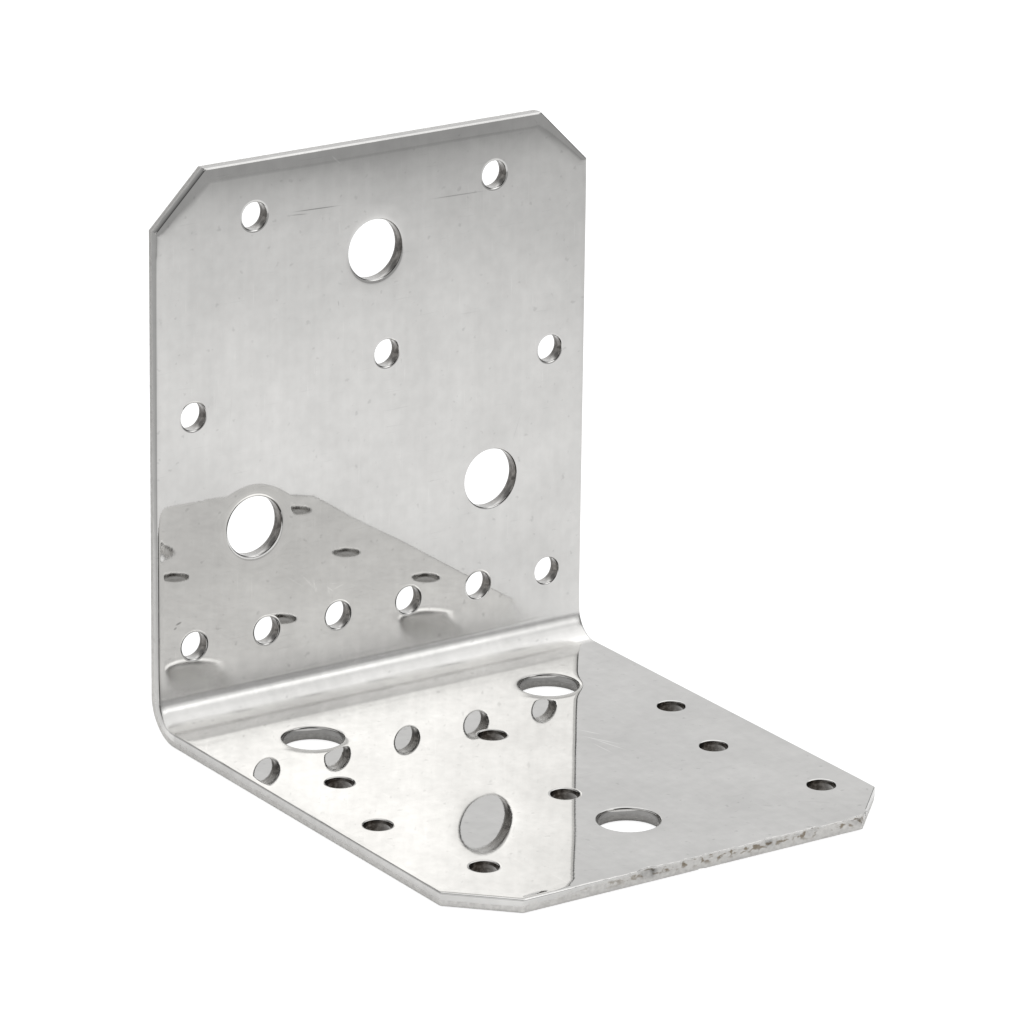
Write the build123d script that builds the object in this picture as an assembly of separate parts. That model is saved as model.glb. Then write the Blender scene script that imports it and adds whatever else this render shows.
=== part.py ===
from build123d import *
import os

# Angle bracket for joining two timbers, folded from one piece of stainless steel sheet.
# The blank is sheared to shape, punched with nail and bolt holes, and folded once at 90 degrees.
# +Z is up. The origin is the middle of the heel line, where the planes of the two outer faces meet.
# X runs along the fold, the foot leg lies towards -Y, and the upright leg stands towards +Z.
# Heights and distances of holes are measured from the heel line, unless their name says otherwise.

# Sheet and fold
sheet_thickness = 2.5
bracket_width = 90.0
upright_height = 103.0
foot_length = 103.0
inner_bend_radius = 5.0
corner_cut = 10.0

# The shear and the punch drag the inner skin of the sheet down along each edge and round each hole.
edge_roll = 0.5

# Holes
nail_hole_diameter = 5.0
bolt_hole_diameter = 11.0
bolt_spacing = 50.0
nail_edge_distance = 7.5
nail_stagger = 2.5

# Rows on the upright leg
heel_nail_height = 16.0
heel_nail_count = 6
low_bolt_height = 36.0
side_nail_height = 58.5
centre_nail_below_top_bolt = 19.5
top_bolt_below_edge = 20.0
top_nail_below_edge = 10.0

# Rows on the foot leg
near_bolt_distance = 22.0
inner_nail_past_near_bolts = 15.5
near_nails_past_near_bolts = 20.5
far_bolt_from_edge = 20.0
outer_nail_before_far_bolt = 15.5
middle_nails_before_far_bolt = 20.5
far_nails_from_edge = 15.5

# Sizes that follow from the ones above
half_width = bracket_width / 2
outer_bend_radius = inner_bend_radius + sheet_thickness
nail_radius = nail_hole_diameter / 2
bolt_radius = bolt_hole_diameter / 2
edge_column = half_width - nail_edge_distance
bolt_column = bolt_spacing / 2
heel_nail_pitch = 2 * edge_column / (heel_nail_count - 1)
staggered_half_span = edge_column - nail_stagger

top_bolt_height = upright_height - top_bolt_below_edge
top_nail_height = upright_height - top_nail_below_edge
centre_nail_height = top_bolt_height - centre_nail_below_top_bolt

far_bolt_distance = foot_length - far_bolt_from_edge
inner_nail_distance = near_bolt_distance + inner_nail_past_near_bolts
near_nails_distance = near_bolt_distance + near_nails_past_near_bolts
outer_nail_distance = far_bolt_distance - outer_nail_before_far_bolt
middle_nails_distance = far_bolt_distance - middle_nails_before_far_bolt
far_nails_distance = foot_length - far_nails_from_edge

# The inner faces of the two legs, seen from inside the angle. The second direction of the upright
# plane is height. The second direction of the foot plane runs back towards the heel.
upright_face = Plane(origin=(0, -sheet_thickness, 0), x_dir=(1, 0, 0), z_dir=(0, -1, 0))
foot_face = Plane(origin=(0, 0, sheet_thickness), x_dir=(1, 0, 0), z_dir=(0, 0, 1))


def pair(half_spacing, distance, centre=0.0):
    """Two hole centres side by side, at one distance from the heel."""
    return [(centre - half_spacing, distance), (centre + half_spacing, distance)]


def upright_nails():
    """Nail holes of the upright leg as (x, height): heel row, side pair, top pair and centre one."""
    heel_row = [(i * heel_nail_pitch - edge_column, heel_nail_height) for i in range(heel_nail_count)]
    side_nails = pair(edge_column, side_nail_height)
    top_nails = pair(bolt_column, top_nail_height)
    return heel_row + side_nails + top_nails + [(nail_stagger, centre_nail_height)]


def upright_bolts():
    """Bolt holes of the upright leg as (x, height)."""
    return pair(bolt_column, low_bolt_height) + [(0, top_bolt_height)]


def foot_nails():
    """Nail holes of the foot leg as (x, distance), staggered to spare the grain of the timber."""
    near_row = pair(staggered_half_span, near_nails_distance, nail_stagger)
    middle_row = pair(staggered_half_span, middle_nails_distance, -nail_stagger)
    far_row = pair(staggered_half_span, far_nails_distance, nail_stagger)
    inner_and_outer = [(nail_stagger, inner_nail_distance), (-nail_stagger, outer_nail_distance)]
    return near_row + middle_row + far_row + inner_and_outer


def foot_bolts():
    """Bolt holes of the foot leg as (x, distance)."""
    return pair(bolt_column, near_bolt_distance) + [(0, far_bolt_distance)]


def forward(places):
    """Places measured forward from the heel, in the directions of the foot plane."""
    return [(x, -distance) for x, distance in places]


def is_fold_skin(face):
    """Whether a face is the inner skin of the fold: a round face about the X direction."""
    if face.geom_type != GeomType.CYLINDER or not face.axis_of_rotation.is_parallel(Axis.X):
        return False
    return abs(face.radius - inner_bend_radius) < 1e-6


def rolled_edges(part):
    """Edges of the inner skin that get a rounded roll: the outline and the mouths of the bolt holes."""
    upright_skin = part.faces().filter_by(Axis.Y).group_by(Axis.Y)[-2]
    foot_skin = part.faces().filter_by(Axis.Z).group_by(Axis.Z)[1]
    fold_skin = part.faces().filter_by(is_fold_skin)
    fold_lines = fold_skin.edges().filter_by(Axis.X)
    skin_edges = [e for face in upright_skin + foot_skin + fold_skin for e in face.edges()]
    rims = [e for e in skin_edges if not any(e.is_same(line) for line in fold_lines)]
    return [e for e in rims if not e.is_closed or abs(e.radius - bolt_radius) < 1e-6]


with BuildPart() as bracket:
    # The sheet, folded once round the inner bend radius.
    with BuildSketch(Plane.YZ):
        with BuildLine():
            Line((-foot_length, 0), (-outer_bend_radius, 0))
            CenterArc((-outer_bend_radius, outer_bend_radius), outer_bend_radius, -90, 90)
            Line((0, outer_bend_radius), (0, upright_height))
            offset(amount=sheet_thickness, side=Side.LEFT)
        make_face()
    extrude(amount=half_width, both=True)

    # The cut corners of the two free ends.
    upright_corners = edges().filter_by(Axis.Y).group_by(Axis.Z)[-1]
    foot_corners = edges().filter_by(Axis.Z).group_by(Axis.Y)[0]
    chamfer(upright_corners + foot_corners, corner_cut)

    # The bolt holes.
    for face, places in ((upright_face, upright_bolts()), (foot_face, forward(foot_bolts()))):
        with Locations(face):
            with Locations(*places):
                Hole(bolt_radius, depth=sheet_thickness)

    # The nail holes, whose small roll is cut as a plain countersink.
    for face, places in ((upright_face, upright_nails()), (foot_face, forward(foot_nails()))):
        with Locations(face):
            with Locations(*places):
                CounterSinkHole(nail_radius, nail_radius + edge_roll, sheet_thickness, 90)

    # The rolled edges.
    fillet(rolled_edges(bracket.part), edge_roll)

os.makedirs("parts", exist_ok=True)
export_step(bracket.part, "parts/bracket.step")
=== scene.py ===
import math

import bmesh
import bpy
from mathutils import Matrix, Vector, noise


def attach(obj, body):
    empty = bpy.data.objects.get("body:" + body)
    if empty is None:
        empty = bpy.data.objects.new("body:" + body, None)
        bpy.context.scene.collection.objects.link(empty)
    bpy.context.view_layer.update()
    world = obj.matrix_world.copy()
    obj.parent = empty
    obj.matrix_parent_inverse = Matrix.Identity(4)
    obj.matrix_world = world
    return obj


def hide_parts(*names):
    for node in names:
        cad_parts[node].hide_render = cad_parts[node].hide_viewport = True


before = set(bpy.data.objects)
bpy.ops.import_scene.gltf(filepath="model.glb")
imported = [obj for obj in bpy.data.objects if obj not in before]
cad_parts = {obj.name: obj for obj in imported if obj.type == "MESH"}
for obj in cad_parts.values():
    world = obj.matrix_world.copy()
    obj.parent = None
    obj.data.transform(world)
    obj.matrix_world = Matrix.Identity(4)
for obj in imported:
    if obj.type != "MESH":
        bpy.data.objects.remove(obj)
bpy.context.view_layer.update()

# The camera stands low in front of the bracket, to its left, with a long lens. The heel's place is given
# along the camera's own right, down and forward directions, in millimetres.
focal_pixels = 6443.533
picture_pixels = 1024
camera_azimuth = math.radians(-34.125)
camera_elevation = math.radians(19.124)
camera_roll = math.radians(0.770)
heel_from_camera = Vector((-26.459, 31.552, 1163.059))


def camera_axes(azimuth, elevation, roll):
    """The camera's right, down and forward directions as the rows of a matrix."""
    back = Vector((
        math.sin(azimuth) * math.cos(elevation),
        -math.cos(azimuth) * math.cos(elevation),
        math.sin(elevation),
    ))
    right = (-back).cross(Vector((0, 0, 1))).normalized()
    down = (-back).cross(right)
    return Matrix.Rotation(roll, 3, "Z") @ Matrix((right, down, -back))


axes = camera_axes(camera_azimuth, camera_elevation, camera_roll)
camera = bpy.data.objects.new("camera", bpy.data.cameras.new("camera"))
bpy.context.scene.collection.objects.link(camera)
camera.data.sensor_width = 36.0
camera.data.lens = focal_pixels / picture_pixels * camera.data.sensor_width
camera.data.clip_start = 0.05
camera.data.clip_end = 50.0
turned = Matrix((axes[0], -axes[1], -axes[2])).transposed().to_4x4()
camera.matrix_world = Matrix.Translation(axes.transposed() @ -heel_from_camera / 1000) @ turned
bpy.context.scene.camera = camera

# The bracket is one piece of stainless steel sheet, sheared to shape with four cut corners, punched with
# nail and bolt holes, and folded once. It is made here in the same order, in millimetres: first the flat
# blank with its inner skin up, then the fold. Shear and punch round the skin over and tear the lower half.
bracket_width = 90.0
leg_length = 103.0
sheet_thickness = 2.5
inner_bend_radius = 5.0
corner_cut = 10.0
outer_bend_radius = inner_bend_radius + sheet_thickness
fold_length = (inner_bend_radius + sheet_thickness / 2) * math.pi / 2
blank_length = 2 * (leg_length - outer_bend_radius) + fold_length

# The fineness of the mesh: steps along the outline in millimetres, and round the holes and the fold.
edge_step = 0.5
nail_steps = 40
bolt_steps = 72
fold_steps = 28
bulge_steps = 10

# Holes, as place across the sheet and along it. On the upright that is the height above the heel, and on
# the foot it is the distance in front of it.
nail_radius = 2.5
bolt_radius = 5.5
upright_nails = [(x, 16.0) for x in (-37.5, -22.5, -7.5, 7.5, 22.5, 37.5)]
upright_nails += [(-37.5, 58.5), (37.5, 58.5), (-25.0, 93.0), (25.0, 93.0), (2.5, 63.5)]
foot_nails = [(2.5, 37.5), (-2.5, 67.5), (-32.5, 42.5), (37.5, 42.5)]
foot_nails += [(-37.5, 62.5), (32.5, 62.5), (-32.5, 87.5), (37.5, 87.5)]
upright_bolts = [(-25.0, 36.0), (25.0, 36.0), (0.0, 83.0)]
foot_bolts = [(-25.0, 22.0), (25.0, 22.0), (0.0, 83.0)]


def on_upright(x, height):
    """A place on the blank from its height above the heel on the upright leg."""
    return (x, fold_length / 2 + height - outer_bend_radius)


def on_foot(x, distance):
    """A place on the blank from its distance in front of the heel on the foot leg."""
    return (x, -fold_length / 2 - distance + outer_bend_radius)


nail_places = [on_upright(*place) for place in upright_nails] + [on_foot(*place) for place in foot_nails]
bolt_places = [on_upright(*place) for place in upright_bolts] + [on_foot(*place) for place in foot_bolts]

# The sheared edge has a rolled top, a quarter of an ellipse, and the skin behind it sinks a little towards
# it. Under the roll is a burnished band, and below that the sheet has torn away. The band's ends are depths
# below the inner skin. The steps of the profile are distance inwards and rise or fall.
burnish_top = 0.50
burnish_bottom = 1.3
roll_inwards = 0.24
roll_depth = 0.42
roll_steps = 8
roll_turns = [math.radians(84) * step / roll_steps for step in range(roll_steps + 1)]
shear_roll = [
    (roll_inwards * (math.cos(a) - math.cos(b)), roll_depth * (math.sin(b) - math.sin(a)))
    for a, b in zip(roll_turns, roll_turns[1:])
]
shear_curl = [(0.15, 0.020), (0.25, 0.018), (0.40, 0.014), (0.60, 0.010), (0.80, 0.006), (0.70, 0.002)]
shear_tear = [(0.02, 0.10), (0.03, 0.34), (0.03, 0.36), (0.02, 0.30), (0.08, 0.10)]

# The profiles of the punched holes, as distance out from the radius and depth below the inner skin.
nail_mouth = [(0.50, 0.0), (0.33, 0.012), (0.20, 0.035), (0.11, 0.07)]
nail_mouth += [(0.05, 0.12), (0.015, 0.20), (0.0, 0.34)]
bolt_mouth = [(3.2, 0.0), (2.4, 0.004), (1.7, 0.011), (1.1, 0.022), (0.7, 0.035), (0.42, 0.051)]
bolt_mouth += [(0.23, 0.073), (0.13, 0.10), (0.07, 0.15), (0.02, 0.24), (0.0, 0.40)]
punched_wall = [(0.0, 0.80), (0.0, 1.20), (0.03, 1.35), (0.06, 1.85), (0.10, 2.40), (0.18, 2.50)]


def shear_blank(sheet):
    """The sheared blank with open skins: burnished band, rolled upper edge and torn lower edge."""
    bmesh.ops.create_grid(sheet, x_segments=1, y_segments=1, size=0.5)
    bmesh.ops.scale(sheet, vec=(bracket_width, blank_length, 1.0), verts=sheet.verts)
    bmesh.ops.bevel(
        sheet, geom=sheet.verts[:], offset=corner_cut, segments=1, profile=0.5, affect="VERTICES",
        material=-1, clamp_overlap=False,
    )
    bmesh.ops.translate(sheet, vec=(0, 0, -burnish_bottom), verts=sheet.verts)
    lower = sheet.faces[:][0]
    extruded = bmesh.ops.extrude_face_region(sheet, geom=[lower])
    upper = next(part for part in extruded["geom"] if isinstance(part, bmesh.types.BMFace))
    bmesh.ops.translate(sheet, vec=(0, 0, burnish_bottom - burnish_top), verts=upper.verts)
    bmesh.ops.recalc_face_normals(sheet, faces=sheet.faces)
    scale = burnish_top / sum(rise for _, rise in shear_roll + shear_curl)
    for inwards, rise in shear_roll + shear_curl:
        bmesh.ops.inset_individual(sheet, faces=[upper], thickness=inwards, depth=rise * scale)
    scale = (sheet_thickness - burnish_bottom) / sum(fall for _, fall in shear_tear)
    for inwards, fall in shear_tear:
        bmesh.ops.inset_individual(sheet, faces=[lower], thickness=inwards, depth=fall * scale)
    bmesh.ops.delete(sheet, geom=[upper, lower], context="FACES_ONLY")
    divide_outline(sheet)


def divide_outline(sheet):
    """Divides the cut corners, the ends and the long sides of the outline, each into steps of one length."""
    outline = [edge for edge in sheet.edges if edge.calc_length() > corner_cut]
    for shortest, longest in ((0, 20), (20, 100), (100, 300)):
        side = [edge for edge in outline if shortest < edge.calc_length() < longest]
        cuts = round(max(edge.calc_length() for edge in side) / edge_step) - 1
        bmesh.ops.subdivide_edges(sheet, edges=side, cuts=cuts, use_grid_fill=True)


def punch(sheet, places, radius, mouth, steps):
    """Punched holes of one size: a profile spun round the axis of the first, copied to the others."""
    first = places[0]
    profile = mouth + punched_wall
    rim = [sheet.verts.new((first[0] + radius + out, first[1], -depth)) for out, depth in profile]
    lines = [sheet.edges.new(ends) for ends in zip(rim, rim[1:])]
    before = set(sheet.faces)
    bmesh.ops.spin(
        sheet, geom=rim + lines, cent=(*first, 0), axis=(0, 0, 1), angle=math.tau, steps=steps,
        use_merge=True,
    )
    wall = [face for face in sheet.faces if face not in before]
    for place in places[1:]:
        copied = bmesh.ops.duplicate(sheet, geom=wall)
        verts = [part for part in copied["geom"] if isinstance(part, bmesh.types.BMVert)]
        bmesh.ops.translate(sheet, vec=(place[0] - first[0], place[1] - first[1], 0), verts=verts)


def close_skins(sheet):
    """Fills the inner and the outer skin between the outline and the mouths of the holes."""
    for level in (0.0, -sheet_thickness):
        rims = [
            e for e in sheet.edges
            if e.is_boundary and all(abs(v.co.z - level) < 1e-3 for v in e.verts)
        ]
        for vert in {v for e in rims for v in e.verts}:
            vert.co.z = level
        bmesh.ops.triangle_fill(sheet, use_beauty=True, edges=rims, normal=(0, 0, 1 if level == 0 else -1))


# The wear of the edges. Chips came off the foot's front edge in a strip that begins near its left end and
# is fully worn from the middle rightwards. There the tear took most of the roll and the burnished band, and
# it reaches almost down to the outer skin. The sunk skin along the sides is narrower than on the two ends.
wear_start = -40.0
wear_rise = 38.0
wear_strip = 2.0
band_lost = 0.85
tear_reach = 2.35
sunk_strip = 3.5


def clamped(share):
    """A share kept between 0 and 1."""
    return max(0.0, min(1.0, share))


def front_edge_wear(x, s):
    """How far the place lies in the badly torn right part of the foot's front edge, from 0 to 1."""
    across = clamped((x - wear_start) / wear_rise)
    return across * across * (3 - 2 * across) * (s < wear_strip - blank_length / 2)


def near_outline(x, s, edge_margin, corner_margin):
    """Whether a place on the blank is near its sides and ends, or near its cut corners."""
    off_side = bracket_width / 2 - abs(x)
    off_end = blank_length / 2 - abs(s)
    return min(off_side, off_end) < edge_margin or off_side + off_end < corner_cut + corner_margin


def unevenness(*place):
    """Smooth chance heights between -1 and 1, the same in every run."""
    return noise.noise(Vector(place))


def chip_depth(x):
    """How far the front edge has chipped back at a place across the sheet, in millimetres."""
    return max(0.0, 0.20 + 0.9 * unevenness(x * 0.16, 3.0, 1.0) + 0.45 * unevenness(x * 0.7, 8.0, 2.0))


def narrow_sunk_sides(sheet):
    """Makes the sunk skin along the sides half as wide, clear of the cut corners."""
    for vert in sheet.verts:
        x, s, w = vert.co
        off_side = bracket_width / 2 - abs(x)
        if w > -0.1 and off_side < sunk_strip:
            clear_of_cuts = clamped((blank_length / 2 - corner_cut - 0.5 - abs(s)) / 4)
            vert.co.x = math.copysign(bracket_width / 2 - off_side * (1 - 0.5 * clear_of_cuts), x)


def tear_edges(sheet):
    """Tears the lower part of the sheared edges, most on the right of the front, where chips came off."""
    for vert in sheet.verts:
        x, s, w = vert.co
        if not near_outline(x, s, 0.7, 1.0):
            continue
        worn = front_edge_wear(x, s)
        off_end = blank_length / 2 - abs(s)
        chip = chip_depth(x)
        fine = unevenness(x * 1.3, s * 1.3, w * 2.0)
        if worn and w > -burnish_bottom + 0.1:
            vert.co.z = w * (1 - band_lost * worn)
            vert.co.y = -blank_length / 2 + off_end * (1 - 0.5 * worn) + chip * worn
        elif worn and w > -tear_reach:
            raised_share = (w + tear_reach) / (tear_reach - burnish_bottom)
            vert.co.z = w + worn * (0.95 * raised_share + 0.25 * fine * raised_share ** 0.5)
            vert.co.y = -blank_length / 2 + off_end + worn * chip * raised_share ** 1.5 * 0.9
        if -sheet_thickness + 0.05 < w < -burnish_bottom + 0.05:
            inwards = Vector((-vert.normal.x, -vert.normal.y, 0)).normalized()
            coarse = unevenness(x * 0.35, s * 0.35, 7.0)
            ragged = 0.12 + 0.88 * worn
            vert.co += inwards * max(0.0, 0.16 * fine + 0.10 * coarse + 0.04) * ragged
            if w > -burnish_bottom - 0.02:
                vert.co.z += (0.30 * coarse + 0.25 * fine) * ragged


# The inner skin bulges a little above the fold, where the press squeezed it.
bulge_length = 4.5
bulge_height = 0.16


def folded(x, s, w):
    """Where a place on the blank goes in the fold, and the direction out of the inner skin there."""
    share = min(max(s / fold_length + 0.5, 0.0), 1.0)
    turn = share * math.pi / 2
    beyond = s - min(max(s, -fold_length / 2), fold_length / 2)
    out = Vector((0, -math.sin(turn), math.cos(turn)))
    along = Vector((0, math.cos(turn), math.sin(turn)))
    centre = Vector((x, -outer_bend_radius, outer_bend_radius))
    left_over = max(0.0, 1 - max(beyond, 0.0) / bulge_length)
    inner_share = 1 + w / sheet_thickness
    bulge = bulge_height * share * share * (3 - 2 * share) * left_over ** 2 * inner_share
    place = centre - out * (inner_bend_radius - w - bulge) + along * beyond
    if beyond <= 0:
        return place, out
    lean = 2 * bulge_height * left_over / bulge_length
    return place, (out + along * lean).normalized()


# Painted shade on one side of each hole's wall, less of it in the foot's bolt holes.
upright_wall_shade = 0.85
foot_bolt_wall_shade = 0.25


def wall_shade_share(x, s, w):
    """How much painted shade the wall of a hole takes, from 0 to 1, and 0 on the skins and on the outline."""
    if near_outline(x, s, 1.5, 2.0) or not -sheet_thickness + 0.01 < w < -0.1:
        return 0.0
    hole = min(nail_places + bolt_places, key=lambda place: math.hypot(x - place[0], s - place[1]))
    away = math.hypot(x - hole[0], s - hole[1])
    if s > 0:
        return upright_wall_shade * max(0.0, (x - hole[0]) / away)
    heelwards = max(0.0, (s - hole[1]) / away) ** 0.5
    return heelwards if hole in nail_places else foot_bolt_wall_shade * heelwards


sheet = bmesh.new()
shear_blank(sheet)
punch(sheet, nail_places, nail_radius, nail_mouth, nail_steps)
punch(sheet, bolt_places, bolt_radius, bolt_mouth, bolt_steps)
close_skins(sheet)
sheet.normal_update()
narrow_sunk_sides(sheet)
tear_edges(sheet)
fold_lines = [fold_length * (line / fold_steps - 0.5) for line in range(fold_steps + 1)]
fold_lines += [fold_length / 2 + bulge_length * line / bulge_steps for line in range(1, bulge_steps + 1)]
for line in fold_lines:
    bmesh.ops.bisect_plane(
        sheet, geom=sheet.verts[:] + sheet.edges[:] + sheet.faces[:], dist=1e-5,
        plane_co=(0, line, 0), plane_no=(0, 1, 0),
    )
bmesh.ops.recalc_face_normals(sheet, faces=sheet.faces)

# Each place of the blank keeps its depth, its wear and the painted shade of the hole walls for the material,
# and is then folded. The blank map holds its place in metres, with the outer skin's set aside so that the
# skins wear differently.
outer_skin_aside = 0.3
sharp_edge = math.radians(35)
flat_within = 1e-4
blank_map = sheet.loops.layers.uv.new("blank")
depth_below = sheet.verts.layers.float.new("depth_below")
torn = sheet.verts.layers.float.new("torn")
flecked_edge = sheet.verts.layers.float.new("flecked_edge")
wall_shade = sheet.verts.layers.float.new("wall_shade")
skin_normals = {}
for face in sheet.faces:
    face.smooth = True
for edge in sheet.edges:
    edge.smooth = edge.calc_face_angle(0) < sharp_edge
for vert in sheet.verts:
    x, s, w = vert.co
    aside = outer_skin_aside if w < -sheet_thickness + 0.005 else 0.0
    for loop in vert.link_loops:
        loop[blank_map].uv = (x / 1000 + aside, s / 1000)
    vert[depth_below] = -w
    worn = front_edge_wear(x, s)
    vert[torn] = float(-sheet_thickness + 0.01 < w < -burnish_bottom * (1 - band_lost * worn) - 0.02)
    vert[flecked_edge] = worn * vert[torn] * clamped((w + 2.0) / 0.8)
    vert[wall_shade] = wall_shade_share(x, s, w)
    place, out = folded(x, s, w)
    if abs(w) < flat_within:
        skin_normals[vert.index] = out
    elif abs(w + sheet_thickness) < flat_within:
        skin_normals[vert.index] = -out
    vert.co = place / 1000

mesh = bpy.data.meshes.new("folded_sheet")
outer_depth = sheet_thickness - flat_within
outer_faces = [all(v[depth_below] > outer_depth for v in face.verts) for face in sheet.faces]
sheet.to_mesh(mesh)
sheet.free()

# The two skins are smooth right up to their edges, so that their long triangles don't show in reflections.
depths = [item.value for item in mesh.attributes["depth_below"].data]
unset = Vector((0, 0, 0))
loop_normals = []
for polygon in mesh.polygons:
    for vertex in polygon.vertices:
        kept = depths[vertex] < 1.0 or outer_faces[polygon.index]
        loop_normals.append(skin_normals.get(vertex, unset) if kept else unset)
mesh.normals_split_custom_set(loop_normals)

bracket = bpy.data.objects.new("bracket_sheet", mesh)
bpy.context.scene.collection.objects.link(bracket)
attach(bracket, "root")
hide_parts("bracket")

# The steel is bright rolled stainless. It mirrors its surroundings, a little unevenly. It is duller in the
# fold, where the press has rubbed it, and is rough and flecked where it has torn. The fold has a painted
# highlight, and one side of each hole's wall has painted shade.
steel = bpy.data.materials.new("stainless_steel")
steel.use_nodes = True
mesh.materials.append(steel)
nodes = steel.node_tree.nodes
links = steel.node_tree.links
shader = nodes["Principled BSDF"]
shader.inputs["Metallic"].default_value = 1.0


def feed(socket, given):
    """Links a value to a socket of the material at hand, or sets a number or a colour on it."""
    if isinstance(given, bpy.types.NodeSocket):
        links.new(given, socket)
    else:
        socket.default_value = given


def worked(operation, *given):
    """The result of one sum on values or numbers."""
    step = nodes.new("ShaderNodeMath")
    step.operation = operation
    for socket, value in zip(step.inputs, given):
        feed(socket, value)
    return step.outputs["Value"]


def product(first, second):
    """Two values multiplied."""
    return worked("MULTIPLY", first, second)


def toned(colour, value):
    """A colour darkened or lightened by a value."""
    times = nodes.new("ShaderNodeVectorMath")
    times.operation = "SCALE"
    feed(times.inputs[0], colour)
    feed(times.inputs["Scale"], value)
    return times.outputs[0]


def mixed(share, first, second, kind="FLOAT"):
    """Two values or colours mixed by a share."""
    mix = nodes.new("ShaderNodeMix")
    mix.data_type = kind
    sockets = [socket for socket in mix.inputs if socket.enabled]
    for socket, given in zip(sockets, (share, first, second)):
        feed(socket, given)
    return next(socket for socket in mix.outputs if socket.enabled)


def ranged(value, low, high, to_low, to_high, smooth=False):
    """A value spread from one range to another."""
    spread = nodes.new("ShaderNodeMapRange")
    spread.interpolation_type = "SMOOTHSTEP" if smooth else "LINEAR"
    for name, number in zip(("From Min", "From Max", "To Min", "To Max"), (low, high, to_low, to_high)):
        spread.inputs[name].default_value = number
    links.new(value, spread.inputs["Value"])
    return spread.outputs["Result"]


def parts_of(vector):
    """The X, Y and Z parts of a place or a direction."""
    split = nodes.new("ShaderNodeSeparateXYZ")
    links.new(vector, split.inputs["Vector"])
    return split.outputs["X"], split.outputs["Y"], split.outputs["Z"]


def kept_on_mesh(name):
    """A share that the mesh keeps for each of its places."""
    attribute = nodes.new("ShaderNodeAttribute")
    attribute.attribute_name = name
    return attribute.outputs["Fac"]


def grain(source, scale, detail=2.0):
    """Soft cloudy noise on the steel, with its sizes in each direction given per metre."""
    stretch = nodes.new("ShaderNodeMapping")
    stretch.inputs["Scale"].default_value = scale
    clouds = nodes.new("ShaderNodeTexNoise")
    clouds.inputs["Scale"].default_value = 1.0
    clouds.inputs["Detail"].default_value = detail
    links.new(source, stretch.inputs["Vector"])
    links.new(stretch.outputs["Vector"], clouds.inputs["Vector"])
    return clouds.outputs["Fac"]


def raised(height, depth, below=None):
    """A fine relief on the steel, of a depth in metres, on top of another."""
    bump = nodes.new("ShaderNodeBump")
    bump.inputs["Distance"].default_value = depth
    links.new(height, bump.inputs["Height"])
    if below:
        links.new(below, bump.inputs["Normal"])
    return bump.outputs["Normal"]


def scratch(place, slant, length, width, tone):
    """A spindle-shaped mark on the blank, lighter or darker than the steel by its tone."""
    across = nodes.new("ShaderNodeMapping")
    across.vector_type = "TEXTURE"
    across.inputs["Location"].default_value = (place[0] / 1000, place[1] / 1000, 0)
    across.inputs["Rotation"].default_value = (0, 0, math.radians(slant))
    across.inputs["Scale"].default_value = (length / 2000, width / 2000, 1)
    links.new(on_blank, across.inputs["Vector"])
    away = nodes.new("ShaderNodeVectorMath")
    away.operation = "LENGTH"
    links.new(across.outputs["Vector"], away.inputs[0])
    return ranged(away.outputs["Value"], 0.35, 1.0, 1.0 + tone, 1.0, smooth=True)


on_object = nodes.new("ShaderNodeTexCoord").outputs["Object"]
blank_place = nodes.new("ShaderNodeUVMap")
blank_place.uv_map = "blank"
on_blank = blank_place.outputs["UV"]
_, along_blank, _ = parts_of(on_blank)
torn_here = kept_on_mesh("torn")

wave = grain(on_object, (38.0, 38.0, 38.0), 1.0)
cloud = grain(on_object, (70.0, 70.0, 70.0), 5.0)
speckle = grain(on_object, (420.0, 420.0, 420.0), 3.0)
crumbled = grain(on_object, (1500.0, 1500.0, 1500.0), 3.0)
flecks = grain(on_object, (600.0, 1100.0, 1100.0), 4.0)
rolling = grain(on_blank, (2600.0, 90.0, 1.0), 3.0)
drawn = grain(on_blank, (700.0, 25.0, 1.0), 4.0)
rubbed = grain(on_blank, (40.0, 1500.0, 1.0), 3.0)
spots = grain(on_blank, (600.0, 600.0, 1.0), 2.0)
lines_along = grain(on_blank, (2600.0, 110.0, 1.0), 2.0)
lines_across = grain(on_blank, (120.0, 2600.0, 1.0), 2.0)

# Scratches from handling, as place on the blank, slant in degrees, length, width and tone.
scratches = [
    ((-12.3, 89.8), -1.7, 11.8, 0.28, -0.46), ((-16.0, 89.3), -4.0, 5.0, 0.24, -0.34),
    ((17.2, 87.8), -1.1, 13.8, 0.30, -0.32), ((-8.3, 98.1), -43.0, 3.0, 0.40, 0.16),
    ((-9.2, 18.7), -41.0, 2.4, 0.30, 0.14), ((-7.4, 18.8), 16.0, 3.0, 0.28, 0.14),
    ((-8.4, 19.6), -8.0, 2.2, 0.25, 0.10), ((-40.7, 18.2), 18.0, 1.6, 0.50, -0.50),
    ((-41.4, 17.4), 30.0, 0.9, 0.50, -0.40), ((17.3, -47.2), -63.0, 9.4, 0.24, 0.40),
    ((17.3, -49.4), -76.0, 11.1, 0.22, 0.36), ((15.3, -50.5), -87.0, 7.1, 0.22, 0.30),
    ((17.9, -43.0), -62.0, 6.0, 0.22, 0.36), ((32.1, -91.1), -41.0, 6.0, 0.60, -0.07),
    ((23.8, -87.9), -42.0, 2.6, 1.00, -0.08), ((15.6, -89.2), -47.0, 1.8, 1.00, -0.08),
    ((-27.7, 80.7), -53.0, 1.2, 0.60, -0.12), ((-7.7, 71.8), -80.0, 1.4, 0.25, -0.25),
    ((30.5, 42.0), 70.0, 8.0, 0.18, -0.10), ((-30.0, 55.0), 84.0, 12.0, 0.16, -0.06),
    ((5.0, -75.0), 20.0, 9.0, 0.16, -0.05),
]
marks_and_fold_highlight = 1.0
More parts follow.
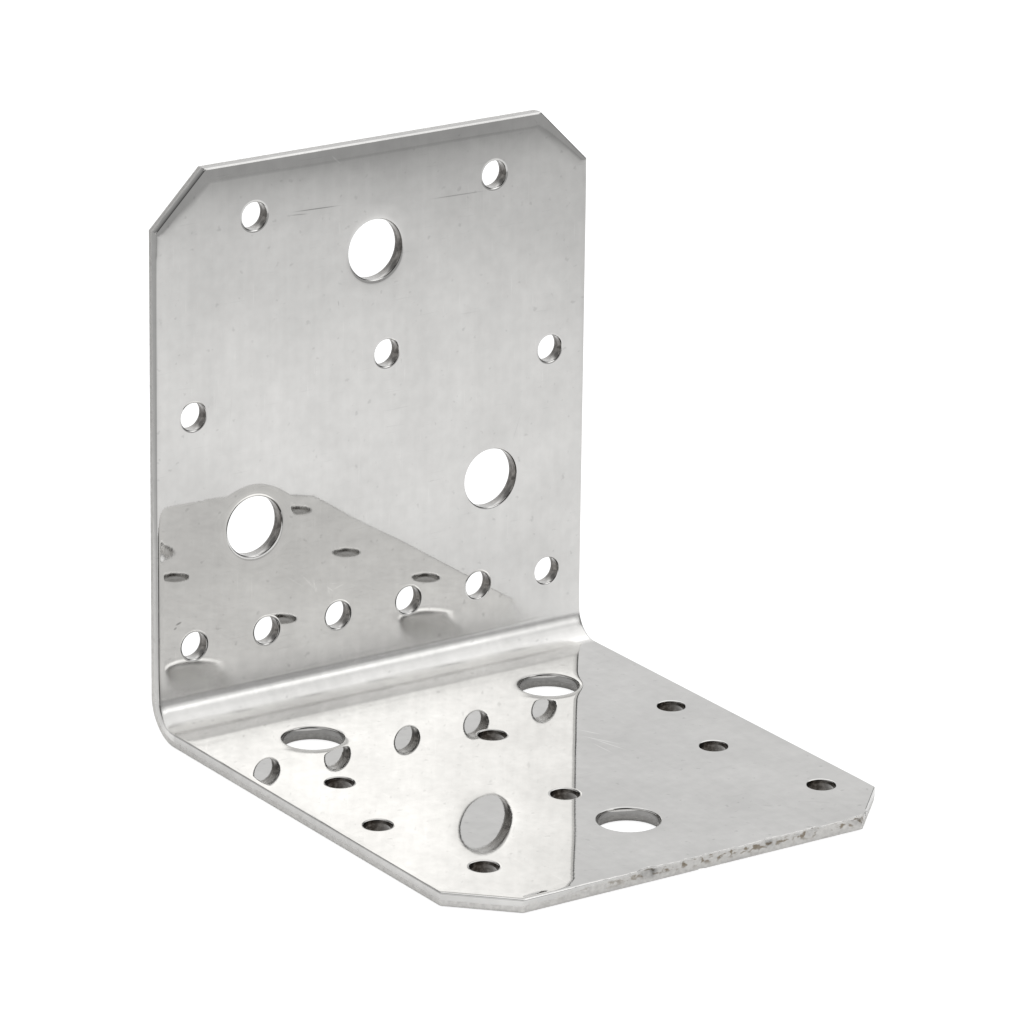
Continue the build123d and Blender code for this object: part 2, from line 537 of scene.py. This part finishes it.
for place, slant, length, width, tone in scratches:
    marks_and_fold_highlight = product(marks_and_fold_highlight, scratch(place, slant, length, width, tone))
marks_and_fold_highlight = product(marks_and_fold_highlight, ranged(drawn, 0.25, 0.75, 0.980, 1.017))
marks_and_fold_highlight = product(marks_and_fold_highlight, ranged(speckle, 0.25, 0.75, 0.95, 1.042))
marks_and_fold_highlight = product(marks_and_fold_highlight, ranged(spots, 0.66, 0.75, 1.0, 0.86, smooth=True))
marks_and_fold_highlight = product(marks_and_fold_highlight, ranged(lines_along, 0.66, 0.75, 1.0, 1.06, smooth=True))
marks_and_fold_highlight = product(marks_and_fold_highlight, ranged(lines_across, 0.66, 0.75, 1.0, 0.93, smooth=True))
marks_and_fold_highlight = product(marks_and_fold_highlight, ranged(cloud, 0.32, 0.68, 0.945, 1.035))

# Painted highlight: the fold is painted brighter where it meets the foot, and darker again from its middle
# upwards.
marks_and_fold_highlight = product(marks_and_fold_highlight, ranged(along_blank, -0.0058, -0.0046, 1.0, 1.22, smooth=True))
marks_and_fold_highlight = product(marks_and_fold_highlight, ranged(along_blank, -0.0030, 0.0005, 1.0, 0.82, smooth=True))

steel_dark = (0.655, 0.649, 0.636, 1)
steel_light = (0.672, 0.666, 0.653, 1)
torn_dark = (0.55, 0.54, 0.525, 1)
torn_light = (0.68, 0.67, 0.65, 1)
fleck_brown = (0.26, 0.225, 0.18, 1)
# Painted shade for one side of the hole walls, in near-black colours.
wall_shade_dark = (0.055, 0.046, 0.038, 1)
wall_shade_light = (0.15, 0.135, 0.12, 1)
steel_tone = toned(mixed(ranged(wave, 0.3, 0.7, 0.0, 1.0), steel_dark, steel_light, "RGBA"), marks_and_fold_highlight)
torn_tone = mixed(ranged(crumbled, 0.3, 0.7, 0.0, 1.0), torn_dark, torn_light, "RGBA")
fleck_there = product(kept_on_mesh("flecked_edge"), ranged(flecks, 0.51, 0.62, 0.0, 1.0, smooth=True))
torn_tone = mixed(fleck_there, torn_tone, fleck_brown, "RGBA")
wall_shade_tone = mixed(ranged(crumbled, 0.45, 0.65, 0.0, 1.0), wall_shade_dark, wall_shade_light, "RGBA")
bare_tone = mixed(torn_here, steel_tone, torn_tone, "RGBA")
links.new(mixed(kept_on_mesh("wall_shade"), bare_tone, wall_shade_tone, "RGBA"), shader.inputs["Base Color"])

# Where the steel is rubbed in the fold, and where the press has dulled it on the bulge above.
fold_share = product(
    ranged(along_blank, -0.0068, -0.0035, 0.0, 1.0, smooth=True),
    ranged(along_blank, 0.0035, 0.0085, 1.0, 0.0, smooth=True),
)
pressed_share = product(
    ranged(along_blank, 0.0065, 0.0125, 1.0, 0.0, smooth=True),
    ranged(along_blank, 0.0035, 0.0050, 0.0, 1.0),
)
bright_part = ranged(cloud, 0.35, 0.7, 0.018, 0.040)
pressed_part = ranged(cloud, 0.35, 0.7, 0.07, 0.15)
rubbed_part = ranged(rubbed, 0.3, 0.7, 0.21, 0.27)
dulled = mixed(fold_share, mixed(pressed_share, bright_part, pressed_part), rubbed_part)
links.new(mixed(torn_here, dulled, 0.38), shader.inputs["Roughness"])
relief = raised(wave, 0.00006)
relief = raised(rolling, 0.0000008, relief)
relief = raised(mixed(fold_share, 0.5, rubbed), 0.000004, relief)
relief = raised(mixed(torn_here, 0.5, crumbled), 0.00004, relief)
links.new(relief, shader.inputs["Normal"])

# The table is a plain white board just under the foot, and it ends in front of the bracket. For the steel,
# its paint fades towards its front and sides as painted shade. It has painted shade under the foot, and
# painted light below the holes.
table_width = 2.4
table_depth = 1.5
table_middle = (0.0, 0.44, -0.0002)
table_mesh = bpy.data.meshes.new("table")
board = bmesh.new()
bmesh.ops.create_grid(board, x_segments=1, y_segments=1, size=0.5)
bmesh.ops.scale(board, vec=(table_width, table_depth, 1.0), verts=board.verts)
bmesh.ops.translate(board, vec=table_middle, verts=board.verts)
board.to_mesh(table_mesh)
board.free()
table = bpy.data.objects.new("table", table_mesh)
bpy.context.scene.collection.objects.link(table)

table_white = bpy.data.materials.new("table_white")
table_white.use_nodes = True
table_mesh.materials.append(table_white)
nodes = table_white.node_tree.nodes
links = table_white.node_tree.links
nodes.clear()
table_x, table_y, _ = parts_of(nodes.new("ShaderNodeTexCoord").outputs["Object"])


def grey(level):
    """A grey of one level."""
    return (level, level, level, 1)


def ramped(value, start, end, stops):
    """A level that changes along a value from start to end, through stops given in the value's own terms."""
    ramp = nodes.new("ShaderNodeValToRGB")
    while len(ramp.color_ramp.elements) < len(stops):
        ramp.color_ramp.elements.new(0.5)
    for element, (at, level) in zip(ramp.color_ramp.elements, stops):
        element.position = (at - start) / (end - start)
        element.color = grey(level)
    links.new(ranged(value, start, end, 0.0, 1.0), ramp.inputs["Fac"])
    return ramp.outputs["Color"]


def within(place, half_size):
    """1 within a box round a place on the table, 0 elsewhere. Both are given in metres."""
    off_x = worked("ABSOLUTE", worked("SUBTRACT", table_x, place[0]))
    off_y = worked("ABSOLUTE", worked("SUBTRACT", table_y, place[1]))
    return product(worked("LESS_THAN", off_x, half_size[0]), worked("LESS_THAN", off_y, half_size[1]))


# Painted shade for the steel: the paint darkens towards the front and the far sides, and is a little lighter
# just beside the bracket.
towards_front = ramped(table_y, -0.32, -0.11, [
    (-0.32, 0.35), (-0.308, 0.37), (-0.301, 0.41), (-0.294, 0.50), (-0.286, 0.60), (-0.274, 0.68),
    (-0.26, 0.73), (-0.25, 0.75), (-0.23, 0.77), (-0.21, 0.80), (-0.19, 0.84), (-0.15, 0.875),
    (-0.11, 0.885),
])
towards_sides = ramped(table_x, -0.25, 0.25, [
    (-0.25, 0.50), (-0.15, 0.52), (-0.10, 0.64), (-0.065, 0.90), (-0.04, 1.10), (-0.02, 0.98), (0.02, 1.0),
    (0.05, 1.06), (0.075, 1.03), (0.11, 1.0), (0.16, 0.94), (0.185, 0.87), (0.25, 0.79),
])

# The paint's levels in the foot's painted shade and in the painted light below the halves of a bolt hole, and
# the glow, which is painted light for the light that falls through the holes. The camera sees the board plain
# white, with the foot's soft shadow.
foot_shade = 0.14
front_half_painted_light = 0.95
back_half_painted_light = 0.56
bolt_painted_light = 0.22
nail_painted_light = 0.5
seen_glow = 0.86
seen_paint = 0.28
under_foot = (0.042, 0.0455)
under_bolt = (0.008, 0.004)
under_nail = (0.003, 0.003)
is_seen = nodes.new("ShaderNodeLightPath").outputs["Is Camera Ray"]
glowing = product(is_seen, seen_glow)
shaded = product(towards_front, towards_sides)
shaded = mixed(within((0.0, -0.0460), under_foot), shaded, grey(foot_shade), "RGBA")
for x, distance in foot_bolts:
    front_half = (x / 1000, -distance / 1000 - 0.004)
    back_half = (x / 1000, -distance / 1000 + 0.004)
    shaded = mixed(within(front_half, under_bolt), shaded, grey(front_half_painted_light), "RGBA")
    shaded = mixed(within(back_half, under_bolt), shaded, grey(back_half_painted_light), "RGBA")
    lit_half = (x / 1000, -distance / 1000 - 0.0045)
    glowing = worked("MULTIPLY_ADD", within(lit_half, under_bolt), bolt_painted_light, glowing)
for x, distance in foot_nails:
    below_nail = within((x / 1000, -distance / 1000), under_nail)
    glowing = worked("MULTIPLY_ADD", below_nail, nail_painted_light, glowing)

paint = nodes.new("ShaderNodeBsdfDiffuse")
links.new(mixed(is_seen, shaded, grey(seen_paint), "RGBA"), paint.inputs["Color"])
glow = nodes.new("ShaderNodeEmission")
links.new(glowing, glow.inputs["Strength"])
both = nodes.new("ShaderNodeAddShader")
links.new(paint.outputs["BSDF"], both.inputs[0])
links.new(glow.outputs["Emission"], both.inputs[1])
output = nodes.new("ShaderNodeOutputMaterial")
links.new(both.outputs["Shader"], output.inputs["Surface"])

# The studio: a white wall behind the bracket, a dim room in front with two glowing reflector boards, and a
# soft lamp overhead. Only the steel sees the boards and the room's own levels. The camera sees plain white.
reflector_distance = 0.400
reflector_sides = (0.15, 0.34)
for name, bottom, top, axis, limits, levels in (
    ("upper_reflector", 0.185, 0.320, "X", (0.265, 0.32), (2.18, 1.76)),
    ("lower_reflector", 0.110, 0.170, "Z", (0.140, 0.158), (1.07, 1.20)),
):
    left, right = reflector_sides
    board_mesh = bpy.data.meshes.new(name)
    board = bmesh.new()
    bmesh.ops.create_grid(board, x_segments=1, y_segments=1, size=0.5)
    bmesh.ops.scale(board, vec=(right - left, top - bottom, 1.0), verts=board.verts)
    bmesh.ops.rotate(board, cent=(0, 0, 0), matrix=Matrix.Rotation(math.pi / 2, 3, "X"), verts=board.verts)
    middle = ((left + right) / 2, -reflector_distance, (bottom + top) / 2)
    bmesh.ops.translate(board, vec=middle, verts=board.verts)
    board.to_mesh(board_mesh)
    board.free()
    reflector = bpy.data.objects.new(name, board_mesh)
    bpy.context.scene.collection.objects.link(reflector)
    reflector.visible_camera = False
    reflector.visible_diffuse = False
    reflector.visible_shadow = False

    glowing_board = bpy.data.materials.new(name)
    glowing_board.use_nodes = True
    board_mesh.materials.append(glowing_board)
    nodes = glowing_board.node_tree.nodes
    links = glowing_board.node_tree.links
    nodes.clear()
    board_parts = parts_of(nodes.new("ShaderNodeTexCoord").outputs["Object"])
    glow = nodes.new("ShaderNodeEmission")
    links.new(ranged(board_parts["XYZ".index(axis)], *limits, *levels), glow.inputs["Strength"])
    output = nodes.new("ShaderNodeOutputMaterial")
    links.new(glow.outputs["Emission"], output.inputs["Surface"])

world = bpy.data.worlds.new("studio")
world.use_nodes = True
bpy.context.scene.world = world
nodes = world.node_tree.nodes
links = world.node_tree.links
look_x, look_y, look_z = parts_of(nodes.new("ShaderNodeTexCoord").outputs["Generated"])

# The room's levels round the compass, in degrees from the right, at three heights, then below and overhead.
around = worked("DEGREES", worked("ARCTAN2", look_y, look_x))
low = ramped(around, -180, 180, [
    (-180, 0.8), (-145, 0.8), (-132, 0.3), (-125, 0.08), (-75, 0.08), (-66, 0.50), (-49, 0.50), (-43, 0.12),
    (20, 0.12), (42, 0.76), (80, 0.76), (100, 0.8), (113, 0.8), (135, 0.7), (180, 0.8),
])
middle = ramped(around, -180, 180, [
    (-180, 0.9), (-145, 0.9), (-132, 0.3), (-125, 0.05), (-75, 0.05), (-66, 1.12), (-49, 1.12), (-43, 0.12),
    (20, 0.12), (42, 0.84), (80, 0.84), (93, 0.8), (107, 0.36), (125, 0.34), (140, 0.6), (180, 0.9),
])
high = ramped(around, -180, 180, [
    (-180, 0.20), (-152, 0.20), (-128, 0.12), (-90, 0.12), (-75, 0.6), (-66, 1.15), (-40, 1.2), (20, 1.3),
    (45, 1.5), (80, 1.4), (93, 1.0), (107, 0.36), (135, 0.24), (180, 0.20),
])
room = mixed(ranged(look_z, -0.05, 0.01, 0.0, 1.0, smooth=True), grey(0.42), low, "RGBA")
room = mixed(ranged(look_z, 0.12, 0.42, 0.0, 1.0, smooth=True), room, middle, "RGBA")
room = mixed(ranged(look_z, 0.50, 0.68, 0.0, 1.0, smooth=True), room, high, "RGBA")
room = mixed(ranged(look_z, 0.84, 0.91, 0.0, 1.0, smooth=True), room, grey(1.1), "RGBA")
is_mirrored = nodes.new("ShaderNodeLightPath").outputs["Is Glossy Ray"]
links.new(mixed(is_mirrored, grey(1.0), room, "RGBA"), nodes["Background"].inputs["Color"])

lamp_size = 0.9
lamp_watts = 2.0
lamp_place = Vector((0.35, -0.25, 1.0))
lamp_aim = Vector((0, -0.05, 0.03))
lamp = bpy.data.objects.new("overhead_lamp", bpy.data.lights.new("overhead_lamp", "AREA"))
lamp.data.shape = "RECTANGLE"
lamp.data.size = lamp_size
lamp.data.size_y = lamp_size
lamp.data.energy = lamp_watts
lamp.location = lamp_place
lamp.rotation_euler = (lamp_aim - lamp_place).to_track_quat("-Z", "Y").to_euler()
lamp.visible_camera = False
lamp.visible_glossy = False
bpy.context.scene.collection.objects.link(lamp)

bpy.context.scene.view_settings.view_transform = "Standard"
